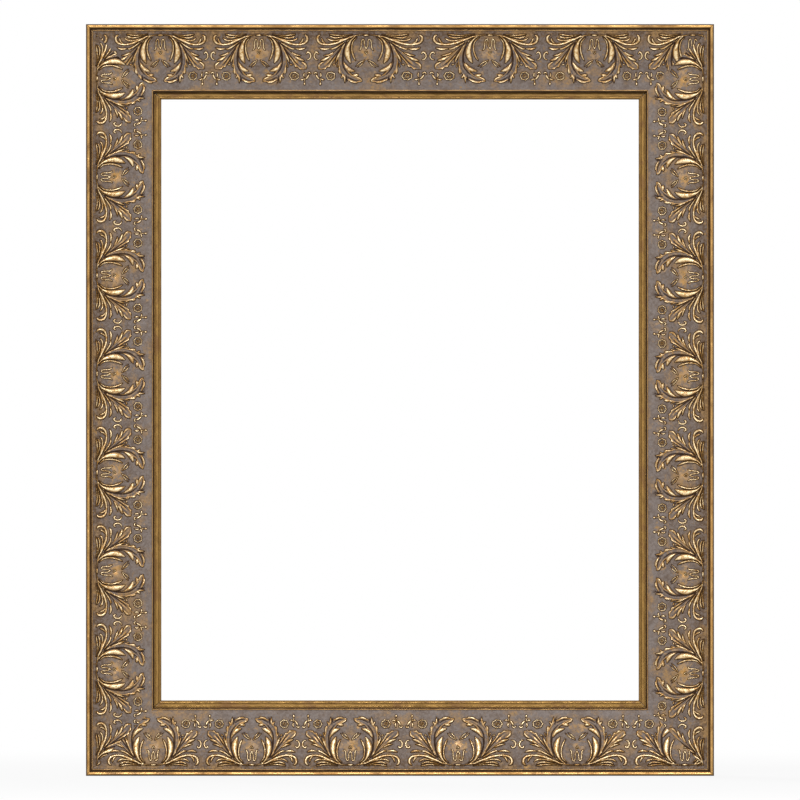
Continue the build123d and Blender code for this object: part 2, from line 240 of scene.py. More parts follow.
# Half of one motif. Each leaf is a row of points: the share of the half gap from the
# motif's middle, the share of the panel's width from its outer edge, and the half width
# there as a share of the panel's width.
body_shares = {
    "crown": ((.396, .229, .006), (.459, .389, .032), (.465, .541, .047), (.413, .672, .058),
              (.323, .776, .057), (.202, .823, .037), (.095, .845, .011)),
    "side": ((.437, .243, .010), (.576, .395, .035), (.707, .520, .058), (.769, .569, .058),
             (.825, .603, .046), (.866, .624, .025)),
}
leaf_shares = {
    "scroll": ((.060, .062, .005), (.188, .080, .008), (.290, .101, .011), (.377, .137, .015),
               (.458, .166, .018), (.539, .198, .019), (.613, .219, .018), (.700, .230, .016),
               (.781, .227, .016), (.849, .209, .018), (.892, .173, .020), (.906, .128, .020),
               (.894, .091, .017), (.858, .066, .007)),
    "scroll_curl": ((.762, .207, .006), (.800, .184, .012), (.817, .154, .013), (.832, .118, .005)),
    "scroll_upper_lobe": ((.377, .112, .003), (.458, .139, .006), (.539, .160, .009),
                          (.620, .164, .012), (.682, .150, .014), (.722, .124, .006)),
    "scroll_lower_lobe": ((.256, .073, .003), (.343, .087, .005), (.424, .097, .007),
                          (.505, .112, .010), (.579, .116, .012), (.640, .101, .011),
                          (.676, .080, .005)),
    "scroll_foot_lobe": ((.256, .056, .004), (.343, .066, .006), (.444, .074, .008),
                         (.525, .075, .010), (.613, .065, .010), (.687, .055, .005)),
    "finger_stem": ((.416, .195, .006), (.548, .271, .014), (.631, .304, .014), (.666, .302, .007)),
    "finger": ((.683, .299, .007), (.766, .309, .017), (.811, .305, .017), (.872, .286, .006)),
    "side_lobe_low": ((.617, .366, .007), (.697, .404, .015), (.787, .420, .005)),
    "side_lobe_middle": ((.683, .434, .010), (.764, .482, .025), (.847, .501, .006)),
    "side_lobe_tip": ((.800, .521, .007), (.872, .575, .017), (.881, .638, .006)),
    "side_rim_tip": ((.807, .623, .005), (.775, .641, .013), (.736, .607, .006)),
    "side_rim_hump": ((.729, .596, .006), (.692, .601, .014), (.664, .558, .007)),
    "side_rim": ((.676, .575, .010), (.624, .491, .011), (.541, .378, .006), (.493, .316, .005)),
    "narrow_lobe": ((.567, .533, .006), (.537, .456, .017), (.487, .359, .009), (.451, .309, .006)),
    "gold_blade": ((.199, .087, .006), (.292, .168, .015), (.346, .292, .035), (.350, .383, .044),
                   (.330, .465, .035), (.287, .546, .006)),
    "thin_blade": ((.171, .110, .004), (.249, .188, .010), (.266, .319, .012), (.232, .437, .014),
                   (.190, .506, .004)),
    "crown_edge": ((.404, .542, .006), (.353, .624, .029), (.290, .661, .029), (.217, .682, .008)),
    "crown_bud": ((.572, .560, .005), (.610, .575, .012)),
    "crown_knob_small": ((.527, .555, .006), (.542, .609, .008)),
    "crown_knob": ((.496, .569, .005), (.496, .659, .014), (.491, .693, .019), (.484, .719, .010)),
    "crown_serration_low": ((.415, .733, .006), (.441, .771, .015), (.461, .798, .007)),
    "crown_serration": ((.420, .749, .006), (.403, .797, .016), (.396, .880, .004)),
    "crown_tip_lobe": ((.333, .821, .007), (.254, .858, .018), (.171, .877, .009)),
    "crown_point": ((.167, .865, .005), (.088, .851, .008)),
    "crown_hook": ((.185, .775, .008), (.109, .811, .015), (.076, .852, .006)),
    "crown_hook_knob": ((.140, .740, .006), (.187, .750, .024), (.235, .747, .011)),
}
fine_shares = {
    "tulip": ((.119, .328, .006), (.093, .292, .010), (.087, .212, .008), (.078, .164, .008),
              (.055, .141, .008), (.034, .164, .008), (.028, .248, .008), (.000, .304, .008)),
    "beak_lower": ((.030, .495, .005), (.119, .539, .008), (.194, .605, .004)),
    "beak_upper": ((.033, .506, .004), (.090, .575, .008), (.154, .618, .003)),
    "stem": ((.285, .122, .004), (.403, .229, .007), (.499, .361, .004)),
    "side_vein": ((.645, .458, .005), (.697, .513, .008), (.749, .558, .004)),
    "sprig_bud": ((.853, .884, .012), (.855, .902, .016)),
    "sprig_stem": ((.854, .862, .007), (.848, .824, .007), (.850, .800, .005)),
    "sprig_outer_leaf": ((.836, .812, .005), (.812, .827, .012), (.778, .822, .005)),
    "sprig_low_leaf": ((.850, .784, .005), (.838, .748, .012), (.852, .704, .004)),
    "sprig_arm": ((.866, .822, .005), (.896, .797, .014), (.922, .762, .013), (.930, .738, .005)),
    "sprig_curl": ((.908, .736, .004), (.918, .712, .009), (.950, .703, .010), (.972, .728, .007)),
    "between_scrolls": ((.898, .492, .006), (.946, .472, .010), (.968, .428, .012),
                        (.952, .376, .012), (.914, .360, .012), (.892, .388, .008)),
}
crease_shares = {
    "crown_vein": ((.369, .181, .006), (.420, .333, .010), (.437, .485, .010), (.416, .624, .008),
                   (.327, .742, .004)),
    "crown_slit": ((.361, .863, .006), (.361, .825, .010), (.371, .749, .004)),
    "crown_hollow": ((.340, .782, .005), (.237, .832, .008), (.133, .842, .004)),
    "side_fold": ((.423, .222, .005), (.548, .378, .007), (.679, .526, .006), (.735, .569, .003)),
    "side_slit": ((.828, .512, .004), (.783, .509, .006), (.693, .479, .003)),
    "narrow_edge": ((.582, .520, .006), (.544, .416, .007), (.465, .299, .005)),
}

# Where ochre is rubbed on the ground: a place as above, the reach along and across the panel
# as shares of its width, and how strong it is. Each tile has its own share of that strength.
rubbed_shares = ((.00, .400, .200, .120, .50), (.12, .700, .080, .045, .36),
                 (.97, .800, .090, .055, .34), (.66, .790, .090, .060, .22),
                 (.55, .945, .150, .025, .26), (.90, .030, .160, .025, .34),
                 (.30, .025, .120, .020, .26), (.95, .560, .060, .040, .22))
rubbed_least = 0.5
rubbed_most = 1.2

# The rosette's place and its wavy rings, each with its radius, swing, petals and half the
# wire's width, and the flower and the jewel on the motif's middle line
rosette_place = (.660, .763)
rosette_rings = ((3.15 * mm, .22 * mm, 7, .46 * mm), (1.05 * mm, .28 * mm, 5, .36 * mm))
flower_place = .366
flower_radius = 0.75 * mm
flower_petal_radius = 0.6 * mm
flower_petals = 3
jewel_place = .072
jewel_length = 5.2 * mm
jewel_width = 1.5 * mm


def rail_length(side):
    """The length of a rail's outer edge."""
    return outer_width if side in ("bottom", "top") else outer_height


def in_frame(side, own):
    """From a rail's own axes (along, inwards, height) to the frame's."""
    turn = pi / 2 * sides[side]
    half = (outer_height if side in ("bottom", "top") else outer_width) / 2
    along, inward, height = own[:, 0], own[:, 1] - half, own[:, 2]
    return np.column_stack([along * cos(turn) - inward * sin(turn), back_y - height,
                            along * sin(turn) + inward * cos(turn)])


def new_mesh(name, points, faces):
    """A mesh of points. Each face is a row of point numbers."""
    mesh = bpy.data.meshes.new(name)
    mesh.from_pydata(np.asarray(points).tolist(), [], faces)
    return mesh


def new_object(name, data):
    """An object in the scene."""
    made = bpy.data.objects.new(name, data)
    bpy.context.scene.collection.objects.link(made)
    return made


def piece(name, points, faces, side, materials, smooth, face_materials=None):
    """A piece of the frame from a rail's own axes, smooth up to an angle in degrees."""
    mesh = new_mesh(name, in_frame(side, points), faces)
    lay = mesh.attributes.new("lay", "FLOAT_VECTOR", "POINT")
    shifted = points + (sides[side] * finish_shift, 0, 0)
    lay.data.foreach_set("vector", shifted.astype(np.float32).ravel())
    for material in materials:
        mesh.materials.append(material)
    if face_materials is not None:
        mesh.polygons.foreach_set("material_index", face_materials)
    mesh.shade_smooth()
    mesh.update()
    made = new_object(name, mesh)
    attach(made, "frame")
    mesh.set_sharp_from_angle(angle=radians(smooth))
    return made


def waves(places, seed):
    """A rail's slow unevenness: a few waves, each of its own strength and shift."""
    rng = np.random.default_rng(seed)
    total = 0
    for length in wave_lengths:
        strength = rng.uniform(*wave_spread)
        total += strength * np.sin(2 * pi * places / length + rng.uniform(0, 2 * pi))
    return wave_size * total / len(wave_lengths)


# Sections. A corner is (inwards, height, radius, number of the finish after it).
def arc(centre, radius, start, end, steps, finish):
    """Points on an arc, each with no rounding of its own. Angles in degrees."""
    angles = np.radians(np.linspace(start, end, steps))
    return [(centre[0] + radius * cos(a), centre[1] + radius * sin(a), 0, finish) for a in angles]


def softened(corners):
    """The outline with each corner rounded, and held by a point on each side of it."""
    points = []
    for i, (x, y, radius, finish) in enumerate(corners):
        if not radius:
            points.append((x, y, finish))
            continue
        here = np.array([x, y])
        before = np.array(corners[i - 1][:2]) - here
        after = np.array(corners[(i + 1) % len(corners)][:2]) - here
        reach_before, reach_after = np.linalg.norm(before), np.linalg.norm(after)
        before, after = before / reach_before, after / reach_after
        cut = min(radius, min(reach_before, reach_after) / (held_room * held_corner))
        start, end = here + before * cut, here + after * cut
        points.append((*(here + before * cut * held_corner), corners[i - 1][3]))
        for t in corner_steps:
            spot = (1 - t) ** 2 * start + 2 * t * (1 - t) * here + t ** 2 * end
            points.append((*spot, corners[i - 1][3] if t < .5 else finish))
        points.append((*(here + after * cut * held_corner), finish))
    return points


outer_fillet_height = panel_outer_height + fillet_rise
inner_fillet_height = panel_inner_height + fillet_rise
groove_height = outer_fillet_height - groove_depth
bead_height = rail_height - bead_radius
lip_underside = rebate_depth + slip_thickness
lip_top = lip_underside + lip_edge_thickness
lip_start = panel_end + fillet_width
lip_edge = lip_start + lip_slope_width
leaf_gold, umber, stained, pine, fillet_gold = range(5)


def rail_outline():
    """The rail's section, from the back's outer corner round to the outer side."""
    quirk = bead_height - quirk_drop
    bed = film_thickness
    fillet_start = panel_start - outer_fillet_width
    soft = soft_corner
    corners = [
        (back_chamfer, 0, soft, pine),
        (rail_width, 0, soft, pine),
        (rail_width, lip_underside, 0, pine),
        (lip_edge, lip_underside, soft, umber),
        (lip_edge, lip_top, soft, umber),
        (lip_start, inner_fillet_height, soft, fillet_gold),
        (panel_end, inner_fillet_height, soft, leaf_gold),
        (panel_end, panel_inner_height - bed, 0, umber),
        (panel_start, panel_outer_height - bed, 0, fillet_gold),
        (panel_start, outer_fillet_height, soft, fillet_gold),
        (fillet_start, outer_fillet_height, soft, umber),
        (fillet_start, groove_height, soft, umber),
        (2 * bead_radius, groove_height, soft, umber),
        (2 * bead_radius, bead_height - bead_radius / 4, 0, leaf_gold),
    ]
    corners += arc((bead_radius, bead_height), bead_radius, 0, 180, bead_steps, leaf_gold)
    corners += [
        (0, quirk, soft, umber),
        (quirk_size, quirk - quirk_size / 2, 0, umber),
        (0, quirk - quirk_size, soft, stained),
        (0, back_chamfer, soft, stained),
    ]
    return softened(corners)


def slip_outline():
    """The slip's section: a bead at each edge and a flat between them."""
    soft = soft_corner
    top = lip_underside
    first = lip_edge + slip_bead_gap
    last = moulding_width - slip_edge_land
    corners = [
        (rail_width, rebate_depth, soft, pine),
        (moulding_width, rebate_depth, soft, leaf_gold),
        (moulding_width, top - slip_edge_drop, soft, leaf_gold),
        (last, top, 0, leaf_gold),
    ]
    sunk = sin(radians(slip_bead_start))
    corners += arc((last - slip_edge_radius, top - slip_edge_radius * sunk), slip_edge_radius,
                   slip_bead_start, 180 - slip_bead_start, slip_edge_steps, leaf_gold)
    corners += [(last - 2 * slip_edge_radius - slip_bead_gap, top, 0, leaf_gold),
                (first + 2 * slip_bead_radius + slip_bead_gap, top, 0, leaf_gold)]
    corners += arc((first + slip_bead_radius, top - slip_bead_radius * sunk), slip_bead_radius,
                   slip_bead_start, 180 - slip_bead_start, slip_bead_steps, leaf_gold)
    corners += [(rail_width, top, 0, leaf_gold)]
    return softened(corners)


def swept(side, outline, seed, dented=False):
    """A mitred bar with an outline across it, slightly wavy, with eased mitres."""
    spots = np.array([spot[:2] for spot in outline])
    finishes = [spot[2] for spot in outline]
    inward, height = spots[:, 0], spots[:, 1]
    half = rail_length(side) / 2 - inward
    count = int(rail_length(side) / column_step)
    middle = np.linspace(-1, 1, count)[:, None] * (half - 2 * mitre_columns[-1])
    ends = np.broadcast_to(mitre_columns[:, None], (len(mitre_columns), len(half)))
    along = np.vstack([ends - half, middle, (half - ends)[::-1]])
    from_mitre = half - np.abs(along)
    front = height > rebate_depth + slip_thickness / 2
    seen = front & (inward < moulding_width)
    easing = mitre_ease * np.exp(-(from_mitre / mitre_ease_reach) ** 2)
    lift = waves(along, seed) * np.clip(from_mitre / column_step, 0, 1)
    rng = np.random.default_rng(seed)
    dents = np.zeros(along.shape)
    span = 1 - dent_free_ends
    if dented:
        for _ in range(dents_per_rail):
            spot = rng.uniform(-span, span) * rail_length(side) / 2
            reach = dent_reach * rng.uniform(*dent_reach_spread)
            depth = dent_depth * rng.uniform(*dent_depth_spread)
            across = rng.uniform(*dent_across_spread) * bead_radius
            away = ((along - spot) / reach) ** 2 + ((inward - across) / reach) ** 2
            dents += depth * np.exp(-away)
    up = height + np.where(seen, np.minimum(lift, 0) - easing - dents, 0)
    rows, columns = along.shape
    points = np.column_stack([along.ravel(), np.tile(inward, rows), up.ravel()])
    number = np.arange(rows * columns).reshape(rows, columns)
    near, far = number[:-1], number[1:]
    beside, far_beside = np.roll(near, -1, 1), np.roll(far, -1, 1)
    quads = np.stack([near, far, far_beside, beside], axis=2).reshape(-1, 4)
    faces = quads.tolist() + [number[0].tolist(), number[-1][::-1].tolist()]
    looks = np.tile(finishes, rows - 1).tolist() + [pine, pine]
    return points, faces, looks


# The pressed ornament as a height over a flat ground
def leaf_path(row, half_gap, rng):
    """A smooth curve through a leaf's row: x, y and half width along it."""
    spots = np.array(row) * (half_gap, panel_reach, panel_reach * leaf_fullness)
    spots[:, :2] += rng.uniform(-jitter, jitter, (len(spots), 2))
    spots = np.vstack([2 * spots[0] - spots[1], spots, 2 * spots[-1] - spots[-2]])
    t = np.linspace(0, 1, leaf_steps, endpoint=False)[:, None]
    parts = []
    for a, b, c, d in zip(spots, spots[1:], spots[2:], spots[3:]):
        bend = 2 * b + (c - a) * t + (2 * a - 5 * b + 4 * c - d) * t ** 2
        parts.append((bend + (3 * b - a - 3 * c + d) * t ** 3) / 2)
    return np.vstack(parts + [spots[-2:-1]])


def share_from(path, x, y):
    """How far each point lies from a path, as a share of the path's half width, and that width."""
    nearest = np.full(x.shape, np.inf)
    width = np.zeros(x.shape)
    for (ax, ay, a_half), (bx, by, b_half) in zip(path, path[1:]):
        dx, dy = bx - ax, by - ay
        t = np.clip(((x - ax) * dx + (y - ay) * dy) / (dx * dx + dy * dy + tiny), 0, 1)
        half = a_half + t * (b_half - a_half)
        share = np.hypot(x - ax - t * dx, y - ay - t * dy) / half
        closer = share < nearest
        nearest[closer] = share[closer]
        width[closer] = half[closer]
    return nearest, width


def smoothed(field, times=1):
    """A light blur, so that slanting edges don't step from cell to cell."""
    for _ in range(times):
        edge = np.pad(field, 1, mode="edge")
        field = (edge[:-2, 1:-1] + 2 * edge[1:-1, 1:-1] + edge[2:, 1:-1]) / 4
        edge = np.pad(field, 1, mode="edge")
        field = (edge[1:-1, :-2] + 2 * edge[1:-1, 1:-1] + edge[1:-1, 2:]) / 4
    return field


def dome(share):
    """A round cross-section: 1 in the middle, and 0 at a share of 1."""
    return np.sqrt(np.clip(1 - share ** 2, 0, 1))


def gold_on(share, fade):
    """1 in the middle of a leaf, and 0 a little outside its edge."""
    return np.clip((gold_end - share) / fade, 0, 1)


class Relief:
    """One tile's height, gilding, and its dark wax with painted shade in the creases and round the
    leaves, over a grid of x and y.
    """

    def __init__(self, before, after):
        columns = int(round((before + after) / 2 / cell)) + 1
        rows = int(round(panel_reach / cell)) + 1
        self.across = np.linspace(-before / 2, after / 2, columns)
        self.inward = np.linspace(0, panel_reach, rows)
        self.x, self.y = np.meshgrid(self.across, self.inward)
        self.height = np.zeros(self.x.shape)
        self.gilt_and_sheen = np.zeros(self.x.shape)
        self.rubbed = np.zeros(self.x.shape)
        self.dark_wax_and_shade = np.zeros(self.x.shape)
        self.clear = np.full(self.x.shape, panel_reach)

    def near(self, x, y, margin=leaf_margin):
        """The part of the grid round some points."""
        first, last = np.searchsorted(self.across, (np.min(x) - margin, np.max(x) + margin))
        low, high = np.searchsorted(self.inward, (np.min(y) - margin, np.max(y) + margin))
        return slice(low, high), slice(first, last)

    def press(self, box, rise, gilt_and_sheen, clear):
        """Raises a leaf. Clear is how far outside the leaf a point lies, and less than 0 inside."""
        self.height[box] = np.maximum(self.height[box], rise)
        self.gilt_and_sheen[box] = np.maximum(self.gilt_and_sheen[box], gilt_and_sheen)
        self.clear[box] = np.minimum(self.clear[box], clear)

    def body(self, path):
        """A low, scooped leaf body with steep sides and a little gold on its rim."""
        box = self.near(path[:, 0], path[:, 1], body_margin)
        share, width = share_from(path, self.x[box], self.y[box])
        clear = (share - 1) * width
        side = dome(1 - np.clip(-clear / shoulder_width, 0, 1))
        narrow = np.minimum(1, least_body_share + width / (2 * full_rise_width))
        scoop = scoop_share + (1 - scoop_share) * np.clip(share, 0, 1) ** 2
        rim = np.exp(-((clear + rim_inset) / rim_width) ** 2)
        groove = np.exp(-((share - groove_share) / groove_width_share) ** 2)
        rise = body_rise * narrow * side * scoop - groove_cut * groove * side
        gold = body_gold + body_rim_gold * rim - body_groove_gold * groove
        self.press(box, rise, np.where(clear < 0, gold, 0), clear)
        # Painted shade, with dark wax, along the body's groove
        self.dark_wax_and_shade[box] = np.maximum(self.dark_wax_and_shade[box], body_groove_wax_and_shade * groove)

    def leaf(self, path, rise=leaf_rise, gold=1.0, trench=1.0):
        """A rounded ridge that tapers to its tips. The trench beside it is as many times
        narrower as trench says."""
        box = self.near(path[:, 0], path[:, 1])
        share, width = share_from(path, self.x[box], self.y[box])
        narrow = np.minimum(1, least_leaf_share + width / (2 * full_rise_width))
        self.press(box, rise * narrow * dome(share / leaf_spread), gold * gold_on(share, leaf_fade),
                   (share - leaf_spread) * width * trench)

    def fine(self, path):
        """A thin, low ridge with bright gold on it."""
        self.leaf(path, fine_rise, fine_gold, fine_trench)

    def crease(self, path):
        """A line cut into a leaf, dark with wax and painted shade."""
        box = self.near(path[:, 0], path[:, 1])
        share, _ = share_from(path, self.x[box], self.y[box])
        line = np.exp(-(share / crease_spread) ** 2)
        self.dark_wax_and_shade[box] = np.maximum(self.dark_wax_and_shade[box], line)

    def spot(self, centre, radii, rise, gold=1.0):
        """A round or oval boss."""
        box = self.near(centre[0], centre[1])
        share = np.hypot((self.x[box] - centre[0]) / radii[0], (self.y[box] - centre[1]) / radii[1])
        self.press(box, rise * dome(share), gold * gold_on(share, spot_fade),
                   (share - 1) * min(radii) * fine_trench)

    def rosette(self, centre, stretch):
        """A small flower of wavy wire rings, stretched along the rail with its motif."""
        box = self.near(centre[0], centre[1], rosette_margin)
        x, y = (self.x[box] - centre[0]) / stretch, self.y[box] - centre[1]
        angle = np.arctan2(y, x)
        for radius, swing, petals, wire in rosette_rings:
            share = np.abs(np.hypot(x, y) - radius - swing * np.cos(petals * angle)) / wire
            self.press(box, fine_rise * dome(share), fine_gold * gold_on(share, wire_fade),
                       (share - 1) * wire * fine_trench)

    def rub(self, centre, reach, strength):
        """A soft patch of ochre on the ground."""
        far = np.hypot((self.x - centre[0]) / reach[0], (self.y - centre[1]) / reach[1])
        self.rubbed = np.maximum(self.rubbed, strength * np.exp(-far ** 2))

    def finish(self):
        """Sinks the ground beside the leaves, cuts the creases, paints shade with dark wax round the
        leaves and in the creases, and spreads the gold a little.
        """
        reach = np.where(self.clear > 0, trench_reach, trench_inner_reach)
        # Painted shade round each leaf's foot, where the ground is also sunk
        outline = np.exp(-(self.clear / reach) ** 2)
        sunk = np.where(self.clear > 0, trench_depth * outline, 0)
        cut = np.minimum(self.height, crease_depth) * self.dark_wax_and_shade
        self.height = smoothed(self.height - sunk - cut)
        self.gilt_and_sheen *= 1 - self.dark_wax_and_shade
        self.dark_wax_and_shade = smoothed(np.maximum(outline, self.dark_wax_and_shade))
        spread = smoothed(self.gilt_and_sheen, int((rub_reach / cell) ** 2))
        self.gilt_and_sheen = smoothed(np.maximum.reduce([self.gilt_and_sheen, rub_gold * spread, self.rubbed]))


def pressed_tile(before, after, seed):
    """The relief of a tile whose motif stands half a gap from each of its ends."""
    relief = Relief(before, after)
    rng = np.random.default_rng(seed)
    for half_gap, way in ((after / 2, 1), (before / 2, -1)):
        for table, press in ((body_shares, relief.body), (leaf_shares, relief.leaf),
                             (fine_shares, relief.fine), (crease_shares, relief.crease)):
            for row in table.values():
                press(leaf_path(row, half_gap, rng) * (way, 1, 1))
        u, v = rosette_place
        relief.rosette((way * u * half_gap, v * panel_reach), 2 * half_gap / motif_pitch)
        for u, v, along, across, strength in rubbed_shares:
            relief.rub((way * u * half_gap, v * panel_reach),
                       (along * panel_reach, across * panel_reach),
                       strength * rng.uniform(rubbed_least, rubbed_most))
    for k in range(flower_petals):
        turn = pi / 2 + k * 2 * pi / flower_petals
        spot = (flower_radius * cos(turn), flower_place * panel_reach + flower_radius * sin(turn))
        relief.spot(spot, (flower_petal_radius, flower_petal_radius), fine_rise, fine_gold)
    relief.spot((0, jewel_place * panel_reach), (jewel_length / 2, jewel_width / 2), fine_rise)
    relief.finish()
    return relief


def blank(points, faces):
    """A mesh object that lends its shape to a piece."""
    return new_object("blank", new_mesh("blank", points, faces))


def shaped(worked, *spare):
    """The points and faces of a blank as its modifiers leave it. The blanks are removed."""
    view = bpy.context.evaluated_depsgraph_get()
    made = worked.evaluated_get(view).to_mesh()
    spots = np.empty(len(made.vertices) * 3)
    made.vertices.foreach_get("co", spots)
    kept = [list(face.vertices) for face in made.polygons]
    worked.evaluated_get(view).to_mesh_clear()
    for used in (worked, *spare):
        mesh = used.data
        bpy.data.objects.remove(used)
        bpy.data.meshes.remove(mesh)
    return spots.reshape(-1, 3), kept


def thinned(points, faces):
    """The mesh with fewer triangles where it is flat."""
    thick = blank(points, faces)
    thin = thick.modifiers.new("thin", "DECIMATE")
    thin.ratio = tile_keep
    return shaped(thick)


def grid_place(lines, place):
    """A place counted in grid lines, which always has a line after it."""
    step = lines[1] - lines[0]
    return np.clip((place - lines[0]) / step, 0, len(lines) - 1 - grid_edge)


def sampled(relief, field, x, y):
    """A field's value at points of the tile."""
    column = grid_place(relief.across, x)
    row = grid_place(relief.inward, y)
    i, j = row.astype(int), column.astype(int)
    s, t = row - i, column - j
    low = field[i, j] * (1 - t) + field[i, j + 1] * t
    high = field[i + 1, j] * (1 - t) + field[i + 1, j + 1] * t
    return low * (1 - s) + high * s


tile_store = {}


def stored_tile(before, after):
    """Points on the panel, faces and the relief of a tile, made once for each pair of gaps."""
    key = (round(before / mm, 3), round(after / mm, 3))
    if key in tile_store:
        return tile_store[key]
    relief = pressed_tile(before, after, len(tile_store) + 1)
    rows, columns = relief.x.shape
    top = np.column_stack([relief.x.ravel(), relief.y.ravel(), relief.height.ravel()])
    number = np.arange(rows * columns).reshape(rows, columns)
    quads = np.stack([number[:-1, :-1], number[:-1, 1:], number[1:, 1:], number[1:, :-1]], axis=2)
    rim = np.concatenate([number[0, :-1], number[:-1, -1], number[-1, :0:-1], number[:0:-1, 0]])
    foot = top[rim] * (1, 1, 0) - (0, 0, film_thickness)
    under = rows * columns + np.arange(len(rim))
    walls = np.column_stack([rim, under, np.roll(under, -1), np.roll(rim, -1)])
    faces = quads.reshape(-1, 4).tolist() + walls.tolist() + [under[::-1].tolist()]
    tile_store[key] = (*thinned(np.vstack([top, foot]), faces), relief)
    return tile_store[key]


def cut_at_mitre(points, faces, end, half):
    """Cuts a tile in its rail's own axes where the rail's mitre passes, and closes it."""
    mesh = new_mesh("cut", points, faces)
    body = bmesh.new()
    body.from_mesh(mesh)
    bpy.data.meshes.remove(mesh)
    geometry = body.verts[:] + body.edges[:] + body.faces[:]
    bmesh.ops.bisect_plane(body, geom=geometry, plane_co=(end * half, 0, 0), plane_no=(end, 1, 0),
                           clear_outer=True, dist=cut_merge)
    bmesh.ops.holes_fill(body, edges=[edge for edge in body.edges if edge.is_boundary])
    body.verts.ensure_lookup_table()
    spots = np.array([vert.co for vert in body.verts]).reshape(-1, 3)
    kept = [[vert.index for vert in face.verts] for face in body.faces]
    body.free()
    return spots, kept


def tiles_of(side):
    """Each tile of a rail: its motif's place along the rail and the gaps to both sides."""
    end = rail_length(side) / 2
    shares = list(gap_shares[side])
    usual = before = after = shares.pop(0) * motif_pitch
    place = first_motif[side] - end - before
    while place - before / 2 < end:
        if place + after / 2 - panel_start > -end:
            yield place, before, after
        place += after
        before = after
        after = shares.pop(0) * motif_pitch if shares else usual


def make_ornament(side, material):
    """One rail's row of pressed tiles, cut where the mitres pass."""
    end = rail_length(side) / 2
    for count, (place, before, after) in enumerate(tiles_of(side), start=1):
        flat, faces, relief = stored_tile(before, after)
        x, y, z = flat.T
        own = np.column_stack([x + place, panel_start + y * cos(panel_slope) + z * sin(panel_slope),
                               panel_outer_height - y * sin(panel_slope) + z * cos(panel_slope)])
        inner = end - moulding_width
        for way, reach in ((-1, before / 2 - place), (1, after / 2 + place)):
            if reach > inner:
                own, faces = cut_at_mitre(own, faces, way, end)
        if not faces:
            continue
        tile = piece(f"ornament_{side}_tile_{count}", own, faces, side,
                     [material], tile_smooth)
        back = own - (place, panel_start, panel_outer_height)
        on_x = back[:, 0]
        on_y = back[:, 1] * cos(panel_slope) - back[:, 2] * sin(panel_slope)
        for name, field in (("gilt_and_sheen", relief.gilt_and_sheen), ("dark_wax_and_shade", relief.dark_wax_and_shade)):
            mask = tile.data.attributes.new(name, "FLOAT", "POINT")
            mask.data.foreach_set("value", sampled(relief, field, on_x, on_y).astype(np.float32))
        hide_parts(f"ornament_{side}")


# Materials
def tint(red, green, blue):
    """A colour as it is seen, from 0 to 255, as Blender's own linear values."""
    seen = np.array([red, green, blue]) / 255
    plain = np.where(seen <= .04045, seen / 12.92, ((seen + .055) / 1.055) ** 2.4)
    return (*plain.tolist(), 1)


def add(tree, kind, values=(), **settings):
    """Adds a node. A value that is a socket is linked, and any other is set."""
    made = tree.nodes.new(kind)
    for name, value in settings.items():
        setattr(made, name, value)
    for name, value in dict(values).items():
        if isinstance(value, bpy.types.NodeSocket):
            tree.links.new(value, made.inputs[name])
        else:
            made.inputs[name].default_value = value
    return made


def sums(tree, operation, first, second=0.5, clamp=False):
    """One step of arithmetic. Both values may be sockets or numbers."""
    return add(tree, "ShaderNodeMath", {0: first, 1: second}, operation=operation,
               use_clamp=clamp).outputs[0]


def blend(tree, share, first, second):
    """The first colour where the share is 0, and the second where it is 1."""
    made = add(tree, "ShaderNodeMix", {0: share, 6: first, 7: second}, data_type="RGBA")
    return made.outputs[2]


def washed(tree, colour, mask, strength, over):
    """A colour with another one over it where a mask is, at a strength."""
    return blend(tree, sums(tree, "MULTIPLY", mask, strength), colour, over)


def between(tree, value, low, high, to_low=0.0, to_high=1.0):
    """A value's place between low and high, smoothly, as a share of to_low and to_high."""
    return add(tree, "ShaderNodeMapRange", {"Value": value, "From Min": low, "From Max": high,
                                            "To Min": to_low, "To Max": to_high},
               interpolation_type="SMOOTHSTEP").outputs[0]


def group(name, inputs, outputs):
    """An empty node group, the sockets it is given and the sockets it gives."""
    tree = bpy.data.node_groups.new(name, "ShaderNodeTree")
    for label, kind, value in inputs:
        socket = tree.interface.new_socket(label, in_out="INPUT", socket_type=f"NodeSocket{kind}")
        if value is not None:
            socket.default_value = value
    for label, kind in outputs:
        tree.interface.new_socket(label, in_out="OUTPUT", socket_type=f"NodeSocket{kind}")
    return tree, tree.nodes.new("NodeGroupInput").outputs, tree.nodes.new("NodeGroupOutput").inputs


def placed(tree, node_group, **values):
    """A node group in a material, with its own values."""
    named = {name.capitalize(): value for name, value in values.items()}
    return add(tree, "ShaderNodeGroup", named, node_tree=node_group).outputs


def stretched(tree, place, stretch):
    """A place whose first axis is drawn out, so that noise runs along the rail."""
    apart = add(tree, "ShaderNodeSeparateXYZ", {0: place}).outputs
    slow = sums(tree, "DIVIDE", apart["X"], stretch)
    return add(tree, "ShaderNodeCombineXYZ", {0: slow, 1: apart["Y"], 2: apart["Z"]}).outputs[0]


def rubbed_patches():
    """Blotches where a top colour is rubbed through, from stretched noise."""
    tree, given, out = group("rubbed patches",
                             [("Place", "Vector", None), ("Size", "Float", .02),
                              ("Stretch", "Float", 1.0), ("Cover", "Float", .4),
                              ("Softness", "Float", .15)], [("Mask", "Float")])
    place = stretched(tree, given["Place"], given["Stretch"])
    scale = sums(tree, "DIVIDE", 1.0, given["Size"])
    noise = add(tree, "ShaderNodeTexNoise", {"Vector": place, "Scale": scale, "Detail": 5.0,
                                             "Roughness": .62}).outputs["Fac"]
    middle = sums(tree, "SUBTRACT", .72, sums(tree, "MULTIPLY", given["Cover"], .44))
    low = sums(tree, "SUBTRACT", middle, given["Softness"])
    high = sums(tree, "ADD", middle, given["Softness"])
    tree.links.new(between(tree, noise, low, high), out["Mask"])
    return tree


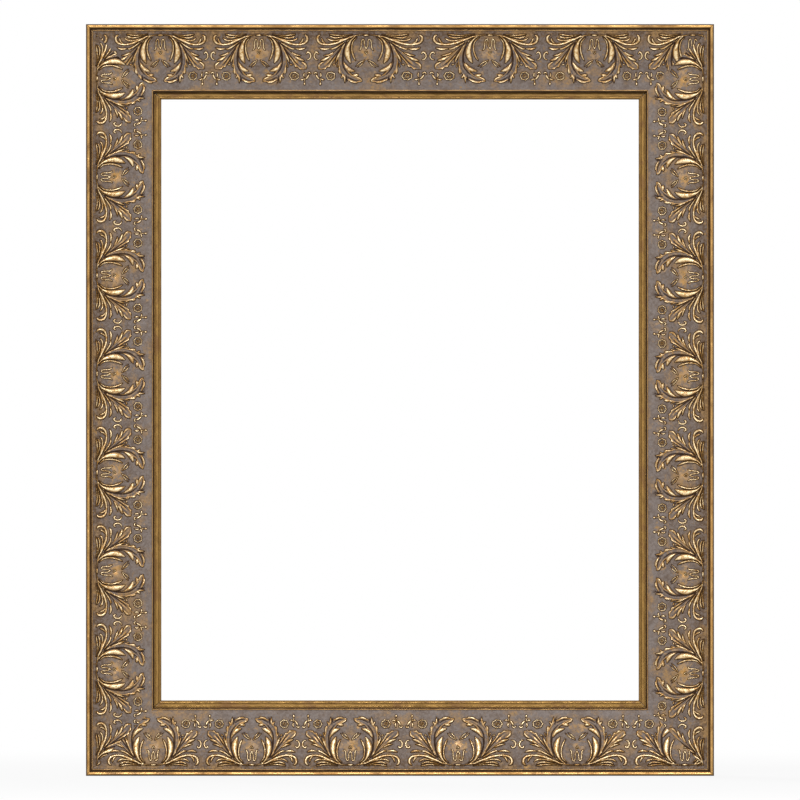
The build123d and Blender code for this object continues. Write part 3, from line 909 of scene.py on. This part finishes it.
def long_grain():
    """Wood fibres that run along the rail: a light and dark mask, and a height."""
    tree, given, out = group("long grain", [("Place", "Vector", None), ("Width", "Float", .003)],
                             [("Mask", "Float"), ("Height", "Float")])
    place = stretched(tree, given["Place"], 1 / fibre_share)
    scale = sums(tree, "DIVIDE", 1.0, given["Width"])
    wide = add(tree, "ShaderNodeTexNoise", {"Vector": place, "Scale": scale, "Detail": 3.0,
                                            "Roughness": .5, "Distortion": .4}).outputs["Fac"]
    ring_scale = sums(tree, "MULTIPLY", scale, .3)
    rings = add(tree, "ShaderNodeTexWave", {"Vector": place, "Scale": ring_scale, "Distortion": 5.0,
                                            "Detail": 2.0, "Detail Scale": 1.0},
                wave_type="BANDS", bands_direction="Y").outputs["Fac"]
    fine_scale = sums(tree, "MULTIPLY", scale, 6.0)
    fine = add(tree, "ShaderNodeTexNoise", {"Vector": place, "Scale": fine_scale,
                                            "Detail": 2.0}).outputs["Fac"]
    mixed = sums(tree, "ADD", sums(tree, "MULTIPLY", wide, .68), sums(tree, "MULTIPLY", rings, .14))
    mixed = sums(tree, "ADD", mixed, sums(tree, "MULTIPLY", fine, .25))
    tree.links.new(between(tree, mixed, .28, .78), out["Mask"])
    tree.links.new(fine, out["Height"])
    return tree


def fine_pits():
    """Small pits and grit of an aged, painted surface: a mask of pits, and a height."""
    tree, given, out = group("fine pits", [("Place", "Vector", None), ("Size", "Float", .0012)],
                             [("Pits", "Float"), ("Height", "Float")])
    scale = sums(tree, "DIVIDE", 1.0, given["Size"])
    grit = add(tree, "ShaderNodeTexNoise", {"Vector": given["Place"], "Scale": scale, "Detail": 4.0,
                                            "Roughness": .68}).outputs["Fac"]
    spot_scale = sums(tree, "MULTIPLY", scale, .8)
    spots = add(tree, "ShaderNodeTexVoronoi", {"Vector": given["Place"],
                                               "Scale": spot_scale}).outputs[0]
    pits = sums(tree, "MULTIPLY", between(tree, spots, .32, .12), between(tree, grit, .45, .6))
    tree.links.new(pits, out["Pits"])
    tree.links.new(sums(tree, "SUBTRACT", grit, sums(tree, "MULTIPLY", pits, .8)), out["Height"])
    return tree


patches_group = rubbed_patches()
grain_group = long_grain()
pits_group = fine_pits()

# The cream of a painted highlight along the middles of the leaves
painted_highlight_cream = tint(238, 214, 168)
gold_bright = tint(178, 140, 84)
gold_deep = tint(164, 117, 42)
gold_worn = tint(108, 74, 36)
umber_brown = tint(42, 21, 3)
taupe = tint(106, 94, 87)
cool_grey = tint(118, 108, 103)
pale_grey = tint(142, 132, 127)
outer_brown = tint(88, 69, 52)
ochre = tint(156, 120, 70)
# Light grey wax, lighter than the ground, which is partly a painted highlight on the leaves
light_wax_and_highlight = tint(172, 157, 146)
stain_dark = tint(92, 62, 30)
stain_light = tint(124, 88, 44)
stain_rubbed = tint(158, 116, 62)
pine_late = tint(196, 150, 98)
pine_early = tint(228, 194, 146)
pine_smudge = tint(168, 126, 84)
rubber_black = tint(38, 37, 36)
rubber_dust = tint(70, 67, 63)
rubber_pore = tint(22, 22, 22)

# How much gold is left on the ornament where each tone of it starts, and where it is full. As the
# gold fades from a leaf's middle to its edge, the cream tone is a painted highlight along the
# middle, and the deep gold is worn gold and painted shade on the flanks
low_leaf_band = (.12, .45)
deep_gold_band = (.4, .72)
painted_highlight_band = (.7, 1.16)
lit_band = (.35, .75)
# Where the painted shade, with dark wax, in the creases and round the leaves starts and is full
dark_wax_and_shade_band = (.14, .74)

# Where a bead is darkened with dark wax and painted shade: on its outer flank, and beside the groove
outer_flank_wax_and_shade_band = (.5 * mm, 1.7 * mm)
inner_foot = 2 * bead_radius
groove_side_wax_and_shade_band = (.2 * mm, 1.1 * mm)


def material(name):
    """A new material, its node tree and the inputs of its shader."""
    made = bpy.data.materials.new(name)
    made.use_nodes = True
    tree = made.node_tree
    return made, tree, tree.nodes["Principled BSDF"].inputs


def lay_of(tree):
    """The place in the rail's own axes."""
    return add(tree, "ShaderNodeAttribute", attribute_name="lay").outputs["Vector"]


def mask_of(tree, name):
    """A mask that the mesh carries on its points."""
    return add(tree, "ShaderNodeAttribute", attribute_name=name).outputs["Fac"]


def patches(tree, place, **values):
    """The mask of rubbed patches at a place."""
    return placed(tree, patches_group, place=place, **values)["Mask"]


def bumped(tree, shader, height, strength, distance):
    """Fine relief in a finish."""
    bump = add(tree, "ShaderNodeBump", {"Height": height, "Strength": strength, "Distance": distance})
    tree.links.new(bump.outputs[0], shader["Normal"])


def ornament_material():
    """Waxed grey ground, rubbed with ochre, and gold leaf on the raised leaves, with a painted
    highlight along their middles and painted shade on their flanks, in their creases and round them.
    """
    made, tree, shader = material("gilt_ornament_with_painted_light")
    lay, gilt_and_sheen, dark_wax_and_shade = lay_of(tree), mask_of(tree, "gilt_and_sheen"), mask_of(tree, "dark_wax_and_shade")
    across = add(tree, "ShaderNodeSeparateXYZ", {0: lay}).outputs["Y"]
    pits = placed(tree, pits_group, place=lay, size=.0011)
    mottle = patches(tree, lay, size=.007, cover=.5, softness=.2)
    speckle = patches(tree, lay, size=.0021, cover=.45, softness=.08)
    worn = patches(tree, lay, size=.0045, cover=.5, softness=.24)
    from_outside = between(tree, across, panel_start, panel_start + panel_width * .3)
    to_inside = between(tree, across, panel_start + panel_width * .5, panel_end)
    ground = blend(tree, from_outside, outer_brown, taupe)
    ground = blend(tree, to_inside, ground, cool_grey)
    ground = washed(tree, ground, mottle, .5, outer_brown)
    ground = washed(tree, ground, speckle, .35, pale_grey)
    rubbed = patches(tree, lay, size=.019, stretch=1.4, cover=.34, softness=.07)
    rubbed = sums(tree, "MULTIPLY", rubbed, between(tree, speckle, 0.0, 1.0, .3, .75))
    ground = blend(tree, rubbed, ground, ochre)
    uneven = sums(tree, "ADD", sums(tree, "MULTIPLY", worn, .34), sums(tree, "MULTIPLY", speckle, .22))
    unworn = sums(tree, "ADD", gilt_and_sheen, sums(tree, "SUBTRACT", .24, uneven))
    # Light grey wax on the leaves' thinly gilt parts, partly a painted highlight
    low_leaf = washed(tree, ochre, mottle, .45, light_wax_and_highlight)
    colour = blend(tree, between(tree, unworn, *low_leaf_band), ground, low_leaf)
    # Deeper gold is worn gold and painted shade on the leaves' flanks; cream is a painted highlight
    # along their middles
    colour = blend(tree, between(tree, unworn, *deep_gold_band), colour, gold_deep)
    colour = blend(tree, between(tree, unworn, *painted_highlight_band), colour, painted_highlight_cream)
    # Painted shade, with dark wax, in the creases and round each leaf
    dark_wax_and_shade_share = sums(tree, "MULTIPLY", between(tree, dark_wax_and_shade, *dark_wax_and_shade_band), .95)
    colour = blend(tree, dark_wax_and_shade_share, colour, umber_brown)
    colour = washed(tree, colour, pits["Pits"], .6, umber_brown)
    tree.links.new(colour, shader["Base Color"])
    lit = sums(tree, "SUBTRACT", between(tree, unworn, *lit_band), dark_wax_and_shade_share, clamp=True)
    tree.links.new(sums(tree, "MULTIPLY", lit, .3), shader["Metallic"])
    tree.links.new(between(tree, lit, 0.0, 1.0, .6, .33), shader["Roughness"])
    tree.links.new(between(tree, lit, 0.0, 1.0, .12, .7), shader["Specular IOR Level"])
    bumped(tree, shader, pits["Height"], .5, .25 * mm)
    return made


def leaf_material(name, light, deep, patch_size):
    """Gold leaf on a moulding: streaks along it where the brown bole shows, and dark wax with painted
    shade on a bead's outer flank and beside its groove.
    """
    made, tree, shader = material(name)
    lay = lay_of(tree)
    streaks = patches(tree, lay, size=patch_size * .25, stretch=5.0, cover=.42, softness=.16)
    worn = patches(tree, lay, size=patch_size, stretch=1.6, cover=.3, softness=.1)
    pits = placed(tree, pits_group, place=lay, size=.0009)
    colour = blend(tree, streaks, light, deep)
    colour = washed(tree, colour, worn, .7, gold_worn)
    colour = washed(tree, colour, pits["Pits"], .45, umber_brown)
    across = add(tree, "ShaderNodeSeparateXYZ", {0: lay}).outputs["Y"]
    # Dark wax and painted shade on the bead's outer flank and beside the groove
    outer = between(tree, across, *outer_flank_wax_and_shade_band, .85, 0.0)
    from_inner = sums(tree, "ABSOLUTE", sums(tree, "SUBTRACT", across, inner_foot))
    inner = between(tree, from_inner, *groove_side_wax_and_shade_band, .7, 0.0)
    colour = blend(tree, sums(tree, "MAXIMUM", outer, inner), colour, umber_brown)
    tree.links.new(colour, shader["Base Color"])
    tree.links.new(between(tree, worn, 0.0, 1.0, .6, .3), shader["Metallic"])
    tree.links.new(between(tree, streaks, 0.0, 1.0, .34, .5), shader["Roughness"])
    shader["Specular IOR Level"].default_value = .25
    bumped(tree, shader, pits["Height"], .3, .15 * mm)
    return made


def umber_material():
    """Dark wax in the grooves."""
    made, tree, shader = material("umber_wax")
    lay = lay_of(tree)
    rubbed = patches(tree, lay, size=.008, stretch=3.0, cover=.3, softness=.2)
    pits = placed(tree, pits_group, place=lay, size=.001)
    colour = washed(tree, umber_brown, rubbed, .5, gold_worn)
    tree.links.new(colour, shader["Base Color"])
    shader["Roughness"].default_value = .62
    shader["Specular IOR Level"].default_value = .15
    bumped(tree, shader, pits["Height"], .4, .2 * mm)
    return made


def stained_material():
    """The rail's outer side: bronze paint under a brown wash, with the wood's grain."""
    made, tree, shader = material("stained_side")
    lay = lay_of(tree)
    grain = placed(tree, grain_group, place=lay, width=.0035)
    rubbed = patches(tree, lay, size=.02, stretch=3.0, cover=.4, softness=.18)
    pits = placed(tree, pits_group, place=lay, size=.0013)
    colour = blend(tree, grain["Mask"], stain_dark, stain_light)
    colour = washed(tree, colour, rubbed, .55, stain_rubbed)
    colour = washed(tree, colour, pits["Pits"], .5, umber_brown)
    tree.links.new(colour, shader["Base Color"])
    shader["Roughness"].default_value = .48
    shader["Metallic"].default_value = .25
    bumped(tree, shader, grain["Height"], .35, .2 * mm)
    return made


def pine_material():
    """Bare pine on the back and in the rebate."""
    made, tree, shader = material("bare_pine")
    lay = lay_of(tree)
    grain = placed(tree, grain_group, place=lay, width=.0042)
    smudge = patches(tree, lay, size=.05, stretch=2.0, cover=.35, softness=.25)
    colour = blend(tree, grain["Mask"], pine_late, pine_early)
    colour = washed(tree, colour, smudge, .3, pine_smudge)
    tree.links.new(colour, shader["Base Color"])
    shader["Roughness"].default_value = .72
    bumped(tree, shader, grain["Height"], .35, .25 * mm)
    return made


def own_place(tree):
    """The place on a small part, which stays with it as it turns."""
    return add(tree, "ShaderNodeTexCoord").outputs["Object"]


def metal_material(name, bright, dull, stain, roughness):
    """Plated or rolled metal: fine brush lines, dull patches and a few stains."""
    made, tree, shader = material(name)
    place = own_place(tree)
    brushed = patches(tree, place, size=.0005, stretch=9.0, cover=.5, softness=.3)
    worn = patches(tree, place, size=.004, cover=.4, softness=.16)
    pits = placed(tree, pits_group, place=place, size=.0012)
    colour = blend(tree, brushed, bright, dull)
    colour = washed(tree, colour, worn, .55, stain)
    tree.links.new(colour, shader["Base Color"])
    tree.links.new(between(tree, worn, 0.0, 1.0, .95, .7), shader["Metallic"])
    uneven = sums(tree, "ADD", sums(tree, "MULTIPLY", worn, .22), sums(tree, "MULTIPLY", brushed, .08))
    tree.links.new(sums(tree, "ADD", uneven, roughness), shader["Roughness"])
    bumped(tree, shader, sums(tree, "ADD", brushed, pits["Height"]), .25, .05 * mm)
    return made


def rubber_material():
    """Matt black rubber with dust in its pores."""
    made, tree, shader = material("black_rubber")
    place = own_place(tree)
    dust = patches(tree, place, size=.003, cover=.4, softness=.2)
    pits = placed(tree, pits_group, place=place, size=.0007)
    colour = blend(tree, dust, rubber_black, rubber_dust)
    tree.links.new(blend(tree, pits["Pits"], colour, rubber_pore), shader["Base Color"])
    tree.links.new(between(tree, dust, 0.0, 1.0, .62, .85), shader["Roughness"])
    bumped(tree, shader, pits["Height"], .5, .08 * mm)
    return made


rail_gold = leaf_material("gilt_wood_with_painted_shade", gold_bright, tint(150, 110, 58), .012)
slip_gold = leaf_material("gilt_slip_finish", tint(131, 100, 51), tint(105, 78, 37), .009)
fillet_finish = leaf_material("gilt_fillet_finish", tint(132, 103, 64), tint(102, 77, 45), .006)
umber_wax = umber_material()
stained_side = stained_material()
bare_pine = pine_material()
ornament_gilt_and_painted_light = ornament_material()
brass = metal_material("tarnished_brass", tint(226, 186, 104), tint(200, 156, 80),
                       tint(150, 108, 54), .3)
zinc = metal_material("zinc_plate", tint(196, 200, 204), tint(160, 165, 171),
                      tint(126, 124, 118), .28)
nail_steel = metal_material("nail_steel", tint(150, 152, 156), tint(112, 114, 118),
                            tint(96, 78, 62), .36)
rubber = rubber_material()

# The finishes stand in the order in which the sections number them
rail_finishes = [rail_gold, umber_wax, stained_side, bare_pine, fillet_finish]
slip_finishes = [slip_gold, umber_wax, stained_side, bare_pine]
for side, turn in sides.items():
    points, faces, looks = swept(side, rail_outline(), rail_seed + turn, dented=True)
    rail = piece(f"moulding_{side}", points, faces, side, rail_finishes,
                 moulding_smooth, looks)
    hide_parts(f"rail_{side}")
    points, faces, looks = swept(side, slip_outline(), slip_seed + turn)
    slip = piece(f"sight_slip_{side}", points, faces, side, slip_finishes,
                 moulding_smooth, looks)
    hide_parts(f"slip_{side}")
    make_ornament(side, ornament_gilt_and_painted_light)


# The fittings on the back: a part turned on a lathe has its axis along its height
def lathed(outline, steps):
    """Points and faces of an outline (radius, height) turned about its axis, from foot to top."""
    outline = np.array(outline)
    angles = np.linspace(0, 2 * pi, steps, endpoint=False)
    ring = np.column_stack([np.cos(angles), np.sin(angles)])
    points = [(0, 0, outline[0, 1])]
    for radius, height in outline[1:-1]:
        points += [(*(spot * radius), height) for spot in ring]
    points.append((0, 0, outline[-1, 1]))
    last = len(points) - 1
    faces = []
    for k in range(steps):
        after = (k + 1) % steps
        faces.append([0, 1 + after, 1 + k])
        for row in range(len(outline) - 3):
            low, high = 1 + row * steps, 1 + (row + 1) * steps
            faces.append([low + k, low + after, high + after, high + k])
        top = last - steps
        faces.append([top + k, top + after, last])
    return np.array(points), faces


def screw_head(radius, height, shank_radius, shank_length):
    """A pan head with a cross recess, and its shank below. The head's foot is at height 0."""
    outline = [(0, -shank_length), (shank_radius, -shank_length), (shank_radius, 0)]
    outline += [(radius * r, height * h) for r, h in pan_shares]
    head = blank(*lathed(outline, lathe_steps))
    arm, half, tip = radius * recess_reach_share, radius * recess_width_share, recess_floor_share
    cross = [(arm, half), (half, half), (half, arm), (-half, arm), (-half, half), (-arm, half),
             (-arm, -half), (-half, -half), (-half, -arm), (half, -arm), (half, -half), (arm, -half)]
    deep, clear = height * (1 - recess_depth_share), height * recess_clearance
    points = [(x * tip, y * tip, deep) for x, y in cross] + [(x, y, clear) for x, y in cross]
    count = len(cross)
    faces = [[k, (k + 1) % count, count + (k + 1) % count, count + k] for k in range(count)]
    cutter = blank(points, faces + [list(range(count))[::-1], list(range(count, 2 * count))])
    cut = head.modifiers.new("recess", "BOOLEAN")
    cut.operation = "DIFFERENCE"
    cut.solver = "EXACT"
    cut.object = cutter
    return shaped(head, cutter)


def fitting(name, node, shapes, finish):
    """One piece for a node. Each shape is (points, faces), placed as (x, foot's y, z, turn)."""
    points, faces = [], []
    for (spots, kept), (x, y, z, turn) in shapes:
        start = sum(len(part) for part in points)
        across = spots[:, 0] * cos(turn) - spots[:, 1] * sin(turn)
        upward = spots[:, 0] * sin(turn) + spots[:, 1] * cos(turn)
        points.append(np.column_stack([x + across, y + spots[:, 2], z - upward]))
        faces += [[start + k for k in face] for face in kept]
    mesh = new_mesh(name, np.vstack(points), faces)
    mesh.materials.append(finish)
    mesh.shade_smooth()
    mesh.set_sharp_from_angle(angle=radians(fitting_smooth))
    made = new_object(name, mesh)
    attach(made, "frame")
    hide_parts(node)


def screw_place(node, from_end):
    """A screw's place, from the end of its plate that is farther from the frame's middle."""
    low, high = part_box(node)
    place = (low + high) / 2
    way = 0 if high.x - low.x > high.z - low.z else 2
    outer = high[way] if abs(high[way]) > abs(low[way]) else low[way]
    place[way] = outer - from_end if outer > 0 else outer + from_end
    return place.x, place.z


def make_screws(name, plates, from_end, head_radius, head_height, shank_radius, seed):
    """Equal screws, one through each plate, each turned its own way."""
    rng = np.random.default_rng(seed)
    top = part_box(name)[1].y
    shape = screw_head(head_radius, head_height, shank_radius, screw_bite)
    places = []
    for plate in plates:
        x, z = screw_place(plate, from_end)
        places.append((shape, (x, top - head_height, z, rng.uniform(0, pi))))
    fitting(f"{name}_cross_head", name, places, zinc)


plain_nodes = {name: node for name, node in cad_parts.items() if "screws" not in name}
buttons = [name for name in plain_nodes if name.startswith("turn_button_")]
straps = [name for name in plain_nodes if name.startswith("hanger_strap_")]
make_screws("turn_button_screws", buttons, button_pivot_inset, button_head_radius,
            button_head_height, button_screw_radius, button_screw_seed)
make_screws("hanger_screws", straps, strap_end_to_screw, hanger_head_radius,
            hanger_head_height, hanger_screw_radius, hanger_screw_seed)
for name in ("bumper_left", "bumper_right"):
    low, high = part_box(name)
    radius, height = (high.x - low.x) / 2, high.y - low.y
    shape = lathed([(radius * r, height * h) for r, h in bumper_shares], bumper_steps)
    middle = (low + high) / 2
    fitting(f"{name}_pad", name, [(shape, (middle.x, low.y, middle.z, 0))], rubber)

carried_finishes = {"turn_button": brass, "hanger_strap": zinc, "hanger_ring": zinc,
                    "corner_nails": nail_steel}
for name, node in plain_nodes.items():
    for start, finish in carried_finishes.items():
        if name.startswith(start):
            for slot in node.material_slots:
                slot.material = finish

# Camera, floor and light
view_width = 659.8 * mm
view_plane_y = -20.5 * mm
camera_distance = 20.0
view_end = 100.0
room_light = 0.3
floor_size = 40.0
floor_fade_start = 0.4
floor_fade_end = 1.6
floor_white_share = 0.9
camera_data = bpy.data.cameras.new("camera")
camera_data.lens = camera_data.sensor_width * camera_distance / view_width
camera_data.clip_end = view_end
camera = new_object("camera", camera_data)
camera.location = (0, view_plane_y - camera_distance, 0)
camera.rotation_euler = (radians(90), 0, 0)
bpy.context.scene.camera = camera
bpy.context.scene.view_settings.view_transform = "Standard"


def lamp(name, towards, strength, spread):
    """Even light from one direction, softened over an angle in degrees."""
    data = bpy.data.lights.new(name, "SUN")
    data.energy = strength
    data.angle = radians(spread)
    made = new_object(name, data)
    made.rotation_euler = Vector(towards).to_track_quat("Z", "Y").to_euler()


lamp("key_light", (.02, -.92, .36), 2.3, 7)
lamp("top_light", (-.15, -.6, .75), .9, 6)
lamp("back_light", (-.35, .8, .5), 2.2, 20)


def shown(tree):
    """1 where the background is seen, also in metal or through glass."""
    rays = add(tree, "ShaderNodeLightPath").outputs
    seen = sums(tree, "MAXIMUM", rays["Is Camera Ray"], rays["Is Transmission Ray"])
    return sums(tree, "MAXIMUM", seen, rays["Is Glossy Ray"])


world = bpy.data.worlds.new("studio")
world.use_nodes = True
bpy.context.scene.world = world
tree = world.node_tree
tree.nodes.clear()
room = add(tree, "ShaderNodeBackground", {"Color": (1, 1, 1, 1), "Strength": room_light})
white = add(tree, "ShaderNodeBackground", {"Color": (1, 1, 1, 1), "Strength": 1.0})
mix = add(tree, "ShaderNodeMixShader", {0: shown(tree), 1: room.outputs[0], 2: white.outputs[0]})
tree.links.new(mix.outputs[0], add(tree, "ShaderNodeOutputWorld").inputs[0])

corners = [(-floor_size, -floor_size, cad_low.z), (floor_size, -floor_size, cad_low.z),
           (floor_size, floor_size, cad_low.z), (-floor_size, floor_size, cad_low.z)]
floor_mesh = new_mesh("floor", corners, [(0, 1, 2, 3)])
floor = new_object("floor", floor_mesh)
floor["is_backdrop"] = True
paper, tree, shader = material("white_floor")
shader["Base Color"].default_value = tint(150, 150, 150)
shader["Roughness"].default_value = .8
shine = add(tree, "ShaderNodeEmission", {"Color": (1, 1, 1, 1), "Strength": 1.0})
place = add(tree, "ShaderNodeNewGeometry").outputs["Position"]
far = add(tree, "ShaderNodeVectorMath", {0: place}, operation="LENGTH").outputs["Value"]
white_share = between(tree, far, floor_fade_start, floor_fade_end, floor_white_share, 1.0)
share = sums(tree, "MULTIPLY", shown(tree), white_share)
output = tree.nodes["Material Output"]
mix = add(tree, "ShaderNodeMixShader", {0: share, 1: tree.nodes["Principled BSDF"].outputs[0],
                                        2: shine.outputs[0]})
tree.links.new(mix.outputs[0], output.inputs[0])
floor_mesh.materials.append(paper)

low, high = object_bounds()
